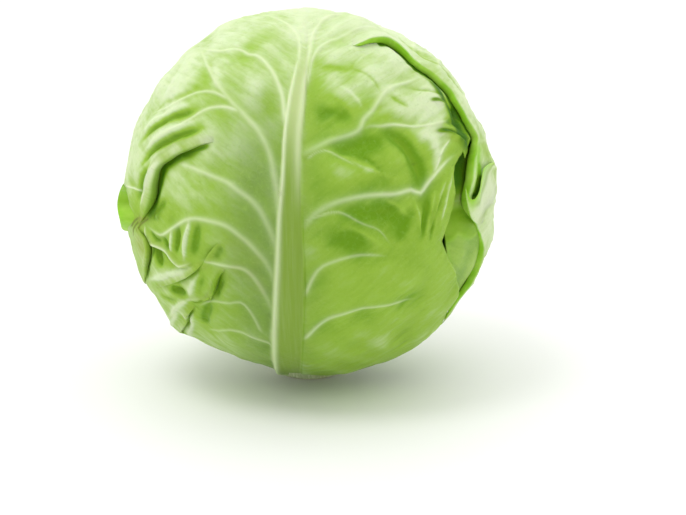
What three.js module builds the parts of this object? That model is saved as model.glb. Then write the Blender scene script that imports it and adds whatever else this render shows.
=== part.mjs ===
// A whole head of green cabbage, standing on its cut stem.
// Millimetres, +Z up, the origin at the middle of the stem's cut face.
// -Y is the front, the side of the outermost leaf's midrib.
// The head is a stem with its core, a heart of packed inner leaves, and wrapper
// leaves that grow from the stem in a spiral, each inside the one before.

import * as THREE from 'three';

// ---- driving dimensions, in millimetres and degrees ----

const HEAD_RADIUS = 94;            // outside of the front leaf's blade
const CENTRE_HEIGHT = 92.6;        // middle of the head above the cut face
const UNDERSIDE_FLATTENING = 0.95; // the lower half is a little flatter than a ball
const LEAF_THICKNESS = 1.2;
const LAYER_PITCH = 2.8;           // from one wrapper leaf's outside to the next one's
const FIT_GAP = 0.4;               // between pieces that lie on each other
const SPIRAL_TURN = 137.5;         // from one leaf to the next round the stem
const LEAF_TILT = 12;              // how far a leaf's middle is above the head's middle

// Half angles that a leaf reaches round the head from its middle.
const SIDE_REACH = 93;
const TOP_REACH = 95;
const BASE_NARROWING = 6;          // taken off the reach on each side of the stalk
const MARGIN_WAVE = 1.8;           // the margin's waves, greatest at the crown
const MARGIN_WAVES = 7;

// The midrib stands out of the leaf most at the stem and runs out towards the crown.
const RIB_HEIGHT_EXPOSED = 2.4;
const RIB_HEIGHT_COVERED = 0.4;
const RIB_TOP_REACH = 60;          // where the rib has run out, above the leaf's middle

const LEAF_SECTORS = 28;
const LEAF_RINGS = 8;
const ROUND_SEGMENTS = 36;

// The stem: cut face, stump, and the core that tapers inside the head.
// Each point is a radius and a height.
const STEM_PROFILE = [
  [0, 0],
  [16.5, 0],
  [17.6, 1.2],
  [18.6, 6],
  [19.2, 12],
  [17.5, 30],
  [13, 56],
  [6, 76],
  [0, 80],
];

const WRAPPER_NAMES = [
  'front_leaf',
  'back_right_leaf',
  'left_leaf',
  'wrapper_leaf_4',
  'wrapper_leaf_5',
  'wrapper_leaf_6',
  'wrapper_leaf_7',
  'wrapper_leaf_8',
  'wrapper_leaf_9',
  'wrapper_leaf_10',
];
const EXPOSED_RIBS = ['front_leaf', 'back_right_leaf'];
const HEART_RADIUS = HEAD_RADIUS - WRAPPER_NAMES.length * LAYER_PITCH;

// ---- materials ----

function leafMaterial(colour) {
  return new THREE.MeshStandardMaterial({ color: colour, roughness: 0.5, metalness: 0 });
}

const OUTER_LEAF_COLOUR = new THREE.Color(0.44, 0.64, 0.2);
const INNER_LEAF_COLOUR = new THREE.Color(0.78, 0.85, 0.48);
const heartMaterial = leafMaterial(new THREE.Color(0.86, 0.88, 0.6));
const stemMaterial = new THREE.MeshStandardMaterial({
  color: new THREE.Color(0.88, 0.88, 0.7),
  roughness: 0.7,
  metalness: 0,
});

// ---- shared shapes ----

// The point of the head's surface in one direction, for a layer of the given radius.
function onHead(direction, radius) {
  const point = direction.clone().multiplyScalar(radius);
  if (point.z < 0) point.z *= UNDERSIDE_FLATTENING;
  point.z += CENTRE_HEIGHT;
  return point;
}

function stemRadiusAt(height) {
  for (let i = 2; i < STEM_PROFILE.length; i += 1) {
    const [lowRadius, lowHeight] = STEM_PROFILE[i - 1];
    const [highRadius, highHeight] = STEM_PROFILE[i];
    if (height <= highHeight) {
      const along = (height - lowHeight) / (highHeight - lowHeight);
      return THREE.MathUtils.lerp(lowRadius, highRadius, along);
    }
  }
  return 0;
}

// The angle from straight down at which a layer's underside meets the stem.
function stemAngle(radius) {
  let angle = 0;
  for (let step = 0; step < 20; step += 1) {
    const height = CENTRE_HEIGHT - UNDERSIDE_FLATTENING * radius * Math.cos(angle);
    angle = Math.asin((stemRadiusAt(height) + FIT_GAP) / radius);
  }
  return THREE.MathUtils.radToDeg(angle);
}

// ---- leaves ----

// The angle from the leaf's middle to its margin. bearing is 0 to the side and
// 90 degrees up towards the crown. order shifts the waves from leaf to leaf.
function marginReach(bearing, baseReach, order) {
  const across = Math.cos(bearing) ** 2;
  const along = Math.sin(bearing) ** 2;
  const upward = Math.sin(bearing) > 0;
  const narrowing = upward ? 0 : BASE_NARROWING * 4 * across * along;
  const wave = MARGIN_WAVE * Math.sin(MARGIN_WAVES * bearing + order);
  const waveShare = (1 + Math.sin(bearing)) / 2;
  const reach = SIDE_REACH * across + (upward ? TOP_REACH : baseReach) * along;
  return reach - narrowing + wave * waveShare;
}

// How far the midrib stands out, at an angle up (or down, if negative) the leaf's middle line.
function ribRise(upAngle, ribHeight) {
  const along = (RIB_TOP_REACH - upAngle) / (2 * RIB_TOP_REACH);
  return ribHeight * THREE.MathUtils.clamp(along, 0, 1);
}

// A leaf is a closed shell: the upper half of a sphere's grid is its outside, the
// lower half its inside, and the band between them its margin.
function leafGeometry(order, radius, ribHeight) {
  const turn = order * SPIRAL_TURN;
  const outward = new THREE.Vector3(0, -1, 0);
  outward.applyAxisAngle(new THREE.Vector3(1, 0, 0), THREE.MathUtils.degToRad(-LEAF_TILT));
  outward.applyAxisAngle(new THREE.Vector3(0, 0, 1), THREE.MathUtils.degToRad(turn));
  const sideways = new THREE.Vector3(0, 0, 1).cross(outward).normalize();
  const upward = outward.clone().cross(sideways);
  const baseReach = 90 + LEAF_TILT - stemAngle(radius - LEAF_THICKNESS);

  const rows = 2 * LEAF_RINGS + 1;
  const geometry = new THREE.SphereGeometry(1, LEAF_SECTORS, rows);
  const position = geometry.attributes.position;
  const grid = geometry.attributes.uv;
  for (let i = 0; i < position.count; i += 1) {
    const row = Math.round((1 - grid.getY(i)) * rows);
    const isOutside = row <= LEAF_RINGS;
    const ring = isOutside ? row : rows - row;
    const bearing = Math.PI / 2 + 2 * Math.PI * grid.getX(i);
    const margin = marginReach(bearing, baseReach, order);
    const reach = THREE.MathUtils.degToRad(margin * ring / LEAF_RINGS);
    const direction = outward.clone().multiplyScalar(Math.cos(reach));
    direction.addScaledVector(sideways, Math.sin(reach) * Math.cos(bearing));
    direction.addScaledVector(upward, Math.sin(reach) * Math.sin(bearing));
    const onMidline = Math.abs(Math.cos(bearing)) < 0.01;
    const upAngle = THREE.MathUtils.radToDeg(reach) * Math.sin(bearing);
    const rise = onMidline ? ribRise(upAngle, ribHeight) : 0;
    const layer = isOutside ? radius + rise : radius - LEAF_THICKNESS;
    position.setXYZ(i, ...onHead(direction, layer));
  }
  return geometry;
}

function buildWrapperLeaves() {
  const leaves = new THREE.Group();
  WRAPPER_NAMES.forEach((name, order) => {
    const ribHeight = EXPOSED_RIBS.includes(name) ? RIB_HEIGHT_EXPOSED : RIB_HEIGHT_COVERED;
    const radius = HEAD_RADIUS - order * LAYER_PITCH;
    const age = order / (WRAPPER_NAMES.length - 1);
    const colour = OUTER_LEAF_COLOUR.clone().lerp(INNER_LEAF_COLOUR, age);
    const geometry = leafGeometry(order, radius, ribHeight);
    const leaf = new THREE.Mesh(geometry, leafMaterial(colour));
    leaf.name = name;
    leaves.add(leaf);
  });
  return leaves;
}

// ---- stem and heart ----

// Turns a profile of [radius, height] points about the upright axis.
function turned(profile) {
  const points = profile.map(([radius, height]) => new THREE.Vector2(radius, height));
  const geometry = new THREE.LatheGeometry(points, ROUND_SEGMENTS);
  geometry.rotateX(Math.PI / 2);
  return geometry;
}

function buildStem() {
  const stem = new THREE.Mesh(turned(STEM_PROFILE), stemMaterial);
  stem.name = 'stem';
  return stem;
}

// The heart is a ball round the core, open below where the core comes in.
function buildHeart() {
  const undersideAngle = THREE.MathUtils.degToRad(stemAngle(HEART_RADIUS));
  const undersideHeight = CENTRE_HEIGHT
    - UNDERSIDE_FLATTENING * HEART_RADIUS * Math.cos(undersideAngle);
  const profile = [];
  const arcSteps = 18;
  for (let step = 0; step <= arcSteps; step += 1) {
    const angle = THREE.MathUtils.lerp(undersideAngle, Math.PI, step / arcSteps);
    const direction = new THREE.Vector3(Math.sin(angle), 0, -Math.cos(angle));
    const point = onHead(direction, HEART_RADIUS);
    profile.push([step === arcSteps ? 0 : point.x, point.z]);
  }
  const coreWall = STEM_PROFILE
    .filter(([radius, height]) => radius > 0 && height > undersideHeight)
    .map(([radius, height]) => [radius + FIT_GAP, height + FIT_GAP]);
  const coreTop = [0, STEM_PROFILE.at(-1)[1] + 2 * FIT_GAP];
  profile.unshift(coreTop, ...coreWall.reverse());
  const heart = new THREE.Mesh(turned(profile), heartMaterial);
  heart.name = 'heart';
  return heart;
}

// ---- the head ----

const cabbageHead = new THREE.Group();
cabbageHead.name = 'cabbage_head';
cabbageHead.add(buildStem());
cabbageHead.add(buildHeart());
cabbageHead.add(buildWrapperLeaves());

export default cabbageHead;
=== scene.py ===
# A whole head of green cabbage on its cut stem, finished leaf by leaf on the CAD frame.
# Sizes are in millimetres and angles in degrees where nothing else is said, and meshes are
# made in metres.

import functools
import math

import bpy
import mathutils
import numpy as np
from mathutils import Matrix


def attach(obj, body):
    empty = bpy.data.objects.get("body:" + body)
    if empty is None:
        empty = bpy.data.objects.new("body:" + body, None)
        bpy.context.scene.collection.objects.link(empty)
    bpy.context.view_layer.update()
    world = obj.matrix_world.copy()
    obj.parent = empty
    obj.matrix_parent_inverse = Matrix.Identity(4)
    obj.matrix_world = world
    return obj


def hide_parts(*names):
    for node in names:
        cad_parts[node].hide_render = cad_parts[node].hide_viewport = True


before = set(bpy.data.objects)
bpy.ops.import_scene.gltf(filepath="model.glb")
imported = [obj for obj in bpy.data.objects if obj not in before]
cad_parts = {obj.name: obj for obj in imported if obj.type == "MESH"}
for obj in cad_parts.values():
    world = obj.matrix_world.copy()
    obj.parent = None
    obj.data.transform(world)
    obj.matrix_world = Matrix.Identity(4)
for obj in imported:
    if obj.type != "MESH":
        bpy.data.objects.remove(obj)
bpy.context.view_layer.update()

# ---- the head, as the CAD model has it ----

MM = 0.001
HEAD_RADIUS = 94.0
CENTRE_HEIGHT = 92.6
UNDERSIDE_FLATTENING = 0.95
LAYER_PITCH = 2.8
SPIRAL_TURN = 137.5
LEAF_TILT = 12.0
SIDE_REACH = 93.0
TOP_REACH = 95.0
BASE_NARROWING = 6.0
MARGIN_WAVE = 1.8
MARGIN_WAVES = 7
WRAPPER_NAMES = ["front_leaf", "back_right_leaf", "left_leaf"]
WRAPPER_NAMES += [f"wrapper_leaf_{number}" for number in range(4, 11)]

# ---- how the leaves are meshed ----

STEM_CLEARANCE = 20.5  # from the axis to the leaves' lower ends, just outside the stem
BLADE_THICKNESS = 0.9
COARSE_STEP = 4  # the inner face keeps every fourth row and column
FRONT_GRID = (213, 421)  # across and up each half of the front leaf
EXPOSED_GRID = 281
COVERED_GRID = 81
SHARP_ANGLE = 55

# ---- the camera, from the photograph's 686 x 515 frame ----

PHOTO_SIZE = (686, 515)
LENS = 85.0
SENSOR = 36.0
CAMERA_PITCH = 14.2
HEAD_PIXEL = (309.1, 195.1)
HEAD_PIXEL_RADIUS = 187.1
FOCAL_PIXELS = LENS / SENSOR * PHOTO_SIZE[0]
HEAD_CENTRE = np.array([0.0, 0.0, CENTRE_HEIGHT])

pitch = math.radians(CAMERA_PITCH)
CAMERA_RIGHT = np.array([1.0, 0.0, 0.0])
CAMERA_UP = np.array([0.0, math.sin(pitch), math.cos(pitch)])
CAMERA_FORWARD = np.array([0.0, math.cos(pitch), -math.sin(pitch)])


def pixel_rays(pixels):
    """Unit directions from the camera through pixels of the photograph."""
    pixels = np.atleast_2d(np.asarray(pixels, float))
    across = (pixels[:, :1] - PHOTO_SIZE[0] / 2) / FOCAL_PIXELS
    up = (PHOTO_SIZE[1] / 2 - pixels[:, 1:2]) / FOCAL_PIXELS
    rays = across * CAMERA_RIGHT + up * CAMERA_UP + CAMERA_FORWARD
    return rays / np.linalg.norm(rays, axis=1, keepdims=True)


CAMERA_DISTANCE = HEAD_RADIUS * math.hypot(1, FOCAL_PIXELS / HEAD_PIXEL_RADIUS)
CAMERA_PLACE = HEAD_CENTRE - CAMERA_DISTANCE * pixel_rays(HEAD_PIXEL)[0]


def directions_at_pixels(pixels, lift=0.0):
    """Directions from the head's middle to where the pixels' rays meet its surface."""
    rays = pixel_rays(pixels)
    radius = HEAD_RADIUS + np.broadcast_to(lift, len(rays))
    found = None
    for flattening in (UNDERSIDE_FLATTENING, 1.0):
        squash = np.array([1.0, 1.0, 1.0 / flattening])
        start = (CAMERA_PLACE - HEAD_CENTRE) * squash
        step = rays * squash
        a = (step**2).sum(1)
        b = step @ start
        c = start @ start - radius**2
        root = np.sqrt(np.maximum(b**2 - a * c, 0.0))
        hit = start + ((-b - root) / a)[:, None] * step
        found = hit if found is None else np.where(hit[:, 2:] >= 0, hit, found)
    return found / np.linalg.norm(found, axis=1, keepdims=True)


# ---- small helpers on arrays ----


def smooth(value, low=0.0, high=1.0):
    t = np.clip((value - low) / (high - low), 0.0, 1.0)
    return t * t * (3 - 2 * t)


def bell(distance, width):
    return np.exp(-((distance / width) ** 2))


def waves(points, shortest, longest, seed, count=28):
    """Smooth random relief of unit strength, from waves in random directions."""
    rng = np.random.default_rng(seed)
    total = np.zeros(points.shape[:-1])
    for _ in range(count):
        direction = rng.normal(size=points.shape[-1])
        direction /= np.linalg.norm(direction)
        length = math.exp(rng.uniform(math.log(shortest), math.log(longest)))
        total += np.sin(points @ direction * (2 * math.pi / length) + rng.uniform(0, 6.283))
    return total * math.sqrt(2 / count)


def wrinkles(flat, place, seed):
    """Fine creases that run outward from the midrib with the veins, of about unit strength."""
    level = 0.80 * flat[..., 1] - 0.60 * np.abs(flat[..., 0])
    phase = 2.6 * waves(place, 30, 70, seed)
    first = np.sin(level * (2 * math.pi / 7.5) + phase)
    second = np.sin(level * (2 * math.pi / 4.3) - 1.7 * phase)
    patchy = smooth(waves(place, 14, 40, seed + 1), -0.6, 1.6)
    return (0.65 * first + 0.35 * second) * patchy


# ---- paths on a flat map ----


def curve_through(points, step):
    """A smooth curve through points of any dimension, sampled about every step."""
    points = np.asarray(points, float)
    if len(points) < 3:
        count = max(2, int(np.linalg.norm(points[-1, :2] - points[0, :2]) / step) + 1)
        return points[0] + np.linspace(0, 1, count)[:, None] * (points[-1] - points[0])
    padded = np.vstack([2 * points[0] - points[1], points, 2 * points[-1] - points[-2]])
    pieces = []
    for p0, p1, p2, p3 in zip(padded, padded[1:], padded[2:], padded[3:]):
        count = max(1, int(round(np.linalg.norm((p2 - p1)[:2]) / step)))
        t = np.arange(count)[:, None] / count
        line = 2 * p1 + (p2 - p0) * t + (2 * p0 - 5 * p1 + 4 * p2 - p3) * t**2
        pieces.append(0.5 * (line + (3 * p1 - p0 - 3 * p2 + p3) * t**3))
    return np.vstack([*pieces, points[-1:]])


def shares_along(path):
    """How far along a path each of its points is, from 0 to 1."""
    passed = np.cumsum(np.linalg.norm(np.diff(path, axis=0), axis=1))
    return np.concatenate([[0], passed]) / passed[-1]


def nearest_on(path, points, reach):
    """Distance to a path, how far along it (0 to 1), and signed distance, left positive.

    Points further than reach from the path's box are left out, as far away.
    """
    flat = points.reshape(-1, 2)
    found = np.array([[1e9], [0.0], [1.0]]) * np.ones(len(flat))
    inside = (flat > path.min(0) - reach) & (flat < path.max(0) + reach)
    near = np.flatnonzero(inside.all(1))
    best = found[:, near]
    shares = shares_along(path)
    for k, start in enumerate(path[:-1]):
        length = max(np.linalg.norm(path[k + 1] - start), 1e-9)
        segment = (path[k + 1] - start) / length
        offset = flat[near] - start
        t = np.clip(offset @ segment, 0, length)
        gap = np.hypot(*(offset - t[:, None] * segment).T)
        along = shares[k] + (shares[k + 1] - shares[k]) * t / length
        side = np.sign(segment[0] * offset[:, 1] - segment[1] * offset[:, 0])
        best = np.where(gap < best[0], [gap, along, side], best)
    found[:, near] = best
    distance, along, side = found.reshape(3, *points.shape[:-1])
    return distance, along, distance * side


def beside(path, flat, width):
    """1 on a path, and less to its sides."""
    return bell(nearest_on(path, flat, 6 * width)[0], width)


def inner_part(along, taper):
    """1 in the middle of a path, fading out over a share of it at each end."""
    return smooth(along, -0.04, taper) * (1 - smooth(along, 1 - taper, 1.04))


def polar(bearing, reach):
    """Places on a leaf's map, from bearings in radians and distances from its middle."""
    return np.stack([reach * np.cos(bearing), reach * np.sin(bearing)], -1)


def arc(degrees):
    """How long an angle at the head's middle is on its surface, in mm."""
    return np.radians(degrees) * HEAD_RADIUS


# ---- leaves as flat maps of the head ----


class LeafMap:
    """A leaf's own flat map: x to its right and y to the crown, in mm from its middle."""

    def __init__(self, order):
        self.order = order
        turn = math.radians(order * SPIRAL_TURN)
        tilt = math.radians(LEAF_TILT)
        level = np.array([math.sin(turn), -math.cos(turn), 0.0])
        self.outward = level * math.cos(tilt) + np.array([0, 0, math.sin(tilt)])
        self.sideways = np.array([math.cos(turn), math.sin(turn), 0.0])
        self.upward = np.cross(self.outward, self.sideways)
        self.radius = HEAD_RADIUS - order * LAYER_PITCH
        stem_angle = math.degrees(math.asin(STEM_CLEARANCE / self.radius))
        self.base_reach = 90 + LEAF_TILT - stem_angle

    def directions(self, flat):
        distance = np.hypot(flat[..., 0], flat[..., 1])
        reach = distance / HEAD_RADIUS
        share = np.where(distance > 1e-9, np.sin(reach) / np.maximum(distance, 1e-9), 0.0)
        vectors = np.cos(reach)[..., None] * self.outward
        vectors = vectors + (share * flat[..., 0])[..., None] * self.sideways
        return vectors + (share * flat[..., 1])[..., None] * self.upward

    def flat(self, directions):
        out = np.clip(directions @ self.outward, -1, 1)
        x = directions @ self.sideways
        y = directions @ self.upward
        scale = np.arccos(out) * HEAD_RADIUS / np.maximum(np.hypot(x, y), 1e-9)
        return np.stack([x * scale, y * scale], -1)

    def from_pixels(self, pixels, lift=0.0):
        return self.flat(directions_at_pixels(pixels, lift))

    def traced(self, pixels, step):
        """A smooth path through pixels of the photograph."""
        return curve_through(self.from_pixels(pixels), step)

    def places(self, flat, height):
        """Points of the head at a height above this leaf's layer."""
        place = self.directions(flat) * (self.radius + height)[..., None]
        place[..., 2] *= np.where(place[..., 2] < 0, UNDERSIDE_FLATTENING, 1.0)
        return place + HEAD_CENTRE

    def margin(self, bearing):
        """How far the CAD leaf's margin is from its middle, at bearings in radians."""
        across = np.cos(bearing) ** 2
        along = np.sin(bearing) ** 2
        upward = np.sin(bearing) > 0
        narrowing = np.where(upward, 0.0, BASE_NARROWING * 4 * across * along)
        wave = MARGIN_WAVE * np.sin(MARGIN_WAVES * bearing + self.order)
        share = (1 + np.sin(bearing)) / 2
        end = np.where(upward, TOP_REACH, self.base_reach)
        return arc(SIDE_REACH * across + end * along - narrowing + wave * share)


# ---- meshes ----


def grid_normals(places):
    down, across = np.gradient(places, axis=(0, 1))
    normals = np.cross(across, down)
    return normals / np.maximum(np.linalg.norm(normals, axis=-1, keepdims=True), 1e-12)


def rise_of_coarse(outer, normals, step):
    """How far the grid of every step-th point stands out of the whole grid near each."""
    rows, columns = (np.arange(count) / step for count in outer.shape[:2])
    low_row = np.minimum(rows.astype(int), int(rows[-1]) - 1)
    low_column = np.minimum(columns.astype(int), int(columns[-1]) - 1)
    part_row = (rows - low_row)[:, None, None]
    part_column = (columns - low_column)[None, :, None]
    coarse = outer[::step, ::step]
    strips = coarse[low_row] * (1 - part_row) + coarse[low_row + 1] * part_row
    flat = strips[:, low_column] * (1 - part_column) + strips[:, low_column + 1] * part_column
    padded = np.pad(((flat - outer) * normals).sum(-1), step)
    rise = np.zeros(coarse.shape[:2])
    for row, column in np.ndindex(2 * step + 1, 2 * step + 1):
        near = padded[row::step, column::step][: rise.shape[0], : rise.shape[1]]
        rise = np.maximum(rise, near)
    return rise


def quads(index):
    corners = [index[:-1, :-1], index[1:, :-1], index[1:, 1:], index[:-1, 1:]]
    return np.stack([corner.ravel() for corner in corners], 1)


def border(index):
    return np.concatenate([index[0, :-1], index[:-1, -1], index[-1, :0:-1], index[:0:-1, 0]])


def closed_sheet(outer, thickness, values):
    """Vertices, faces and vertex values of a leaf blade with a coarser inner face.

    outer is a grid of places, thickness is a number or a grid, and values maps an
    attribute's name to a grid.
    """
    step = COARSE_STEP
    normals = grid_normals(outer)
    facing = 1 if ((outer - HEAD_CENTRE) * normals).sum(-1).mean() > 0 else -1
    normals = normals * facing
    depth = np.broadcast_to(thickness, outer.shape[:2])[::step, ::step]
    depth = depth + rise_of_coarse(outer, normals, step)
    inner = outer[::step, ::step] - normals[::step, ::step] * depth[..., None]
    outer_index = np.arange(outer[..., 0].size).reshape(outer.shape[:2])
    inner_index = outer_index.size + np.arange(depth.size).reshape(depth.shape)
    fine = border(outer_index)
    coarse = border(inner_index)
    half = step // 2
    rim = []
    for k, low in enumerate(coarse):
        high = coarse[(k + 1) % len(coarse)]
        run = [fine[(k * step + i) % len(fine)] for i in range(step + 1)]
        rim += [(run[i], run[i + 1], low) for i in range(half)]
        rim.append((run[half], high, low))
        rim += [(run[i], run[i + 1], high) for i in range(half, step)]
    faces = [quads(outer_index)[:, ::-facing], quads(inner_index)[:, ::facing],
             np.array(rim)[:, ::facing]]
    values = {**values, "inner": np.zeros(outer.shape[:2])}
    joined = {}
    for name, grid in values.items():
        parts = (grid, grid[::step, ::step] + (name == "inner"))
        joined[name] = np.concatenate([part.reshape(-1, *grid.shape[2:]) for part in parts])
    return np.vstack([outer.reshape(-1, 3), inner.reshape(-1, 3)]), faces, joined


def make_piece(name, parts, material, node):
    """One mesh object from closed parts, riding where its CAD node is."""
    loops = []
    sizes = []
    values = {}
    base = 0
    for part_vertices, part_faces, part_values in parts:
        for faces in part_faces:
            loops.append((faces + base).ravel())
            sizes += [faces.shape[1]] * len(faces)
        for key, value in part_values.items():
            values.setdefault(key, []).append(value)
        base += len(part_vertices)
    loops = np.concatenate(loops)
    mesh = bpy.data.meshes.new(name)
    mesh.vertices.add(base)
    vertices = np.vstack([part[0] for part in parts]) * MM
    mesh.vertices.foreach_set("co", vertices.ravel().astype(np.float32))
    mesh.loops.add(len(loops))
    mesh.loops.foreach_set("vertex_index", loops.astype(np.int32))
    mesh.polygons.add(len(sizes))
    starts = np.cumsum([0] + sizes[:-1])
    mesh.polygons.foreach_set("loop_start", starts.astype(np.int32))
    mesh.polygons.foreach_set("use_smooth", np.ones(len(sizes), bool))
    mesh.update(calc_edges=True)
    mesh.validate()
    for key, pieces in values.items():
        joined = np.concatenate(pieces).astype(np.float32)
        kind, field = ("FLOAT_VECTOR", "vector") if joined.ndim == 2 else ("FLOAT", "value")
        attribute = mesh.attributes.new(key, kind, "POINT")
        attribute.data.foreach_set(field, joined.ravel())
    mesh.set_sharp_from_angle(angle=math.radians(SHARP_ANGLE))
    mesh.materials.append(material)
    piece = bpy.data.objects.new(name, mesh)
    bpy.context.scene.collection.objects.link(piece)
    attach(piece, "root")
    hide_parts(node)
    return piece


def disc_grid(across_count, up_count, side=0):
    """A square grid bent to a disc: radius from 0 to 1, and bearing.

    With side -1 or 1 it is only the left or right half, from the middle line out.
    """
    columns = np.linspace(0, side, across_count) if side else np.linspace(-1, 1, across_count)
    u, v = np.meshgrid(columns, np.linspace(-1, 1, up_count))
    x = u * np.sqrt(1 - v**2 / 2)
    y = v * np.sqrt(1 - u**2 / 2)
    return np.hypot(x, y), np.arctan2(y, x)


def blade_sheet(leaf, margin, relief, grid):
    """A leaf's blade. relief gives height and fields from places and the margin's distance."""
    radius, bearing = grid
    whole = margin(bearing)
    reach = whole * radius
    flat = polar(bearing, reach)
    height, fields = relief(flat, whole - reach)
    return closed_sheet(leaf.places(flat, height), BLADE_THICKNESS, fields)


# ---- veins ----


class Veins:
    """Ridges along paths on a leaf's map, each with widths, a height and how pale it is."""

    def __init__(self):
        self.lines = []

    def add(self, path, first, last, height, tones):
        self.lines.append((path, first, last, height, tones))

    def relief(self, flat):
        """Ridge height, how far a point is vein, and the blade's swelling between veins."""
        height = np.zeros(flat.shape[:-1])
        colour = np.zeros(flat.shape[:-1])
        nearest = np.full(flat.shape[:-1], 60.0)
        for path, first, last, rise, tones in self.lines:
            distance, along, _ = nearest_on(path, flat, 26.0)
            width = first + (last - first) * along
            tone = tones[0] + (tones[1] - tones[0]) * along
            starts_right = path[0, 0] > 3
            fade = smooth(along, -0.05, 0.45 if starts_right else 0.06)
            fade = fade * (1 - smooth(along, 0.8, 1.0))
            ridge = 0.7 * bell(distance, 0.48 * width) + 0.3 * bell(distance, 1.2 * width)
            height = np.maximum(height, rise * (width / first) ** 0.5 * fade * ridge)
            core = 0.8 * bell(distance, 0.42 * width) + 0.2 * bell(distance, 1.1 * width)
            colour = np.maximum(colour, tone * core * fade)
            nearest = np.minimum(nearest, distance + 14 * (1 - min(first / 2.6, 1.0)))
        return height, colour, 1 - bell(nearest, 10.0)


# Where the side veins leave the midrib, in mm up the leaf's map.
LOWEST_VEIN = -122
HIGHEST_VEIN = 84
# The forks of a side vein: how far along it, and the turn away from it in radians.
VEIN_FORKS = ((0.34, -0.55), (0.48, 0.5), (0.62, -0.5), (0.76, 0.5))


def grown_veins(seed):
    """Side veins that leave the midrib on both sides, arch outward and fork near the margin."""
    rng = np.random.default_rng(seed)
    veins = Veins()

    def arch(start, heading, length, bend):
        points = [np.asarray(start, float)]
        steps = max(4, int(length / 8))
        for _ in range(steps):
            heading += bend / steps + rng.normal(0, math.radians(3.5))
            stride = length / steps * np.array([math.sin(heading), math.cos(heading)])
            points.append(points[-1] + stride)
        return curve_through(points, 2.5)

    for side in (-1, 1):
        y = LOWEST_VEIN + rng.uniform(0, 10)
        while y < HIGHEST_VEIN:
            share = (y - LOWEST_VEIN) / (HIGHEST_VEIN - LOWEST_VEIN)
            heading = side * math.radians(rng.uniform(26, 34) + 14 * share)
            length = rng.uniform(172, 188) - 100 * share
            path = arch((0.0, y), heading, length, side * math.radians(44 - 24 * share))
            veins.add(path, 4.2 - 1.6 * share, 1.7, 0.9 - 0.3 * share, (0.6, 0.7))
            for part, turn in VEIN_FORKS:
                k = int(part * (len(path) - 2))
                ahead = path[k + 1] - path[k]
                angle = math.atan2(ahead[0], ahead[1]) + side * turn
                reach = length * rng.uniform(0.18, 0.28)
                fork = arch(path[k], angle, reach, -side * turn * 0.85)
                veins.add(fork, 1.9, 1.4, 0.5, (0.6, 0.4))
            y += rng.uniform(22, 30)
    return veins


class Midrib:
    """A thick rib along a path, with pale strands along its edges.

    points are places on the leaf's map with half the rib's width and its height there.
    """

    def __init__(self, points):
        points = curve_through(points, 3.0)
        self.path = points[:, :2]
        self.shares = shares_along(self.path)
        self.widths = points[:, 2]
        self.rises = points[:, 3]

    def relief(self, flat):
        """Height, how far a point is rib, strand and edge line, and how far up the rib it is."""
        distance, along, offset = nearest_on(self.path, flat, 40.0)
        width = np.interp(along, self.shares, self.widths)
        rise = np.interp(along, self.shares, self.rises)
        across = offset / width
        t = np.abs(across)
        end = 1 - smooth(along, 0.88, 1.0)
        upper = smooth(along, 0.56, 0.72)
        left = bell(across - 0.80, 0.20)
        right = bell(across + 0.62, 0.34) * upper
        slope = 0.46 + 0.24 * across * (1 - upper)
        top = slope * (1 - smooth(t, 0.70, 1.12)) + 0.62 * left + 0.34 * right
        # The edge line is a groove along the rib's lower right edge, which the blade paints with
        # shade.
        line = bell(across + 1.02, 0.07) * (1 - upper)
        top = top - 0.18 * line
        height = rise * (top * end + 0.2 * bell(distance, 2.4 * width))
        rib = (1 - smooth(t, 0.84, 1.06)) * end
        strand = (left + 0.55 * right) * end
        return height, rib, np.clip(strand, 0, 1), line * end, along


# ---- materials ----

# Bump depth and subsurface scale are in metres.
BUMP_STRENGTH = 0.5
BUMP_DEPTH = 0.0005
SUBSURFACE_SCALE = 0.003


class Nodes:
    """The node tree of a material or a world."""

    def __init__(self, owner):
        owner.use_nodes = True
        self.owner = owner
        self.tree = owner.node_tree

    def feed(self, node, inputs):
        """Sets a node's inputs, by name or number, to values or other nodes' outputs."""
        for key, value in inputs.items():
            socket = node.inputs[key]
            if isinstance(value, bpy.types.NodeSocket):
                self.tree.links.new(value, socket)
            elif socket.type == "RGBA":
                socket.default_value = (*value, 1.0)
            else:
                socket.default_value = value

    def node(self, kind, inputs, output=0, **settings):
        made = self.tree.nodes.new("ShaderNode" + kind)
        for key, value in settings.items():
            setattr(made, key, value)
        self.feed(made, inputs)
        return made.outputs[output]

    def attribute(self, name, output="Fac"):
        return self.node("Attribute", {}, output, attribute_name=name)

    def math(self, operation, a, b=0.0, clamp=False):
        return self.node("Math", {0: a, 1: b}, operation=operation, use_clamp=clamp)

    def sum(self, first, *others):
        for other in others:
            first = self.math("ADD", first, other)
        return first

    def product(self, a, b, clamp=False):
        return self.math("MULTIPLY", a, b, clamp)

    def mix(self, factor, a, b):
        return self.node("Mix", {0: factor, 6: a, 7: b}, 2, data_type="RGBA")

    def span(self, value, low, high, out_low=0.0, out_high=1.0, steps="SMOOTHSTEP"):
        inputs = dict(enumerate((value, low, high, out_low, out_high)))
        return self.node("MapRange", inputs, interpolation_type=steps)

    def noise(self, vector, scale, detail=3.0, roughness=0.5, distortion=0.0, output="Fac"):
        inputs = {"Vector": vector, "Scale": scale, "Detail": detail, "Roughness": roughness,
                  "Distortion": distortion}
        return self.node("TexNoise", inputs, output)

    def vector(self, operation, inputs, output=0):
        return self.node("VectorMath", inputs, output, operation=operation)

    def place(self):
        return self.node("TexCoord", {}, "Object")

    def surface(self, relief=None, **values):
        """Feeds the shader, whose inputs are named with _ for each space."""
        inputs = {key.replace("_", " "): value for key, value in values.items()}
        if relief is not None:
            bump = {"Strength": BUMP_STRENGTH, "Distance": BUMP_DEPTH, "Height": relief}
            inputs["Normal"] = self.node("Bump", bump)
        self.feed(self.tree.nodes["Principled BSDF"], inputs)
        return self.owner


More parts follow.
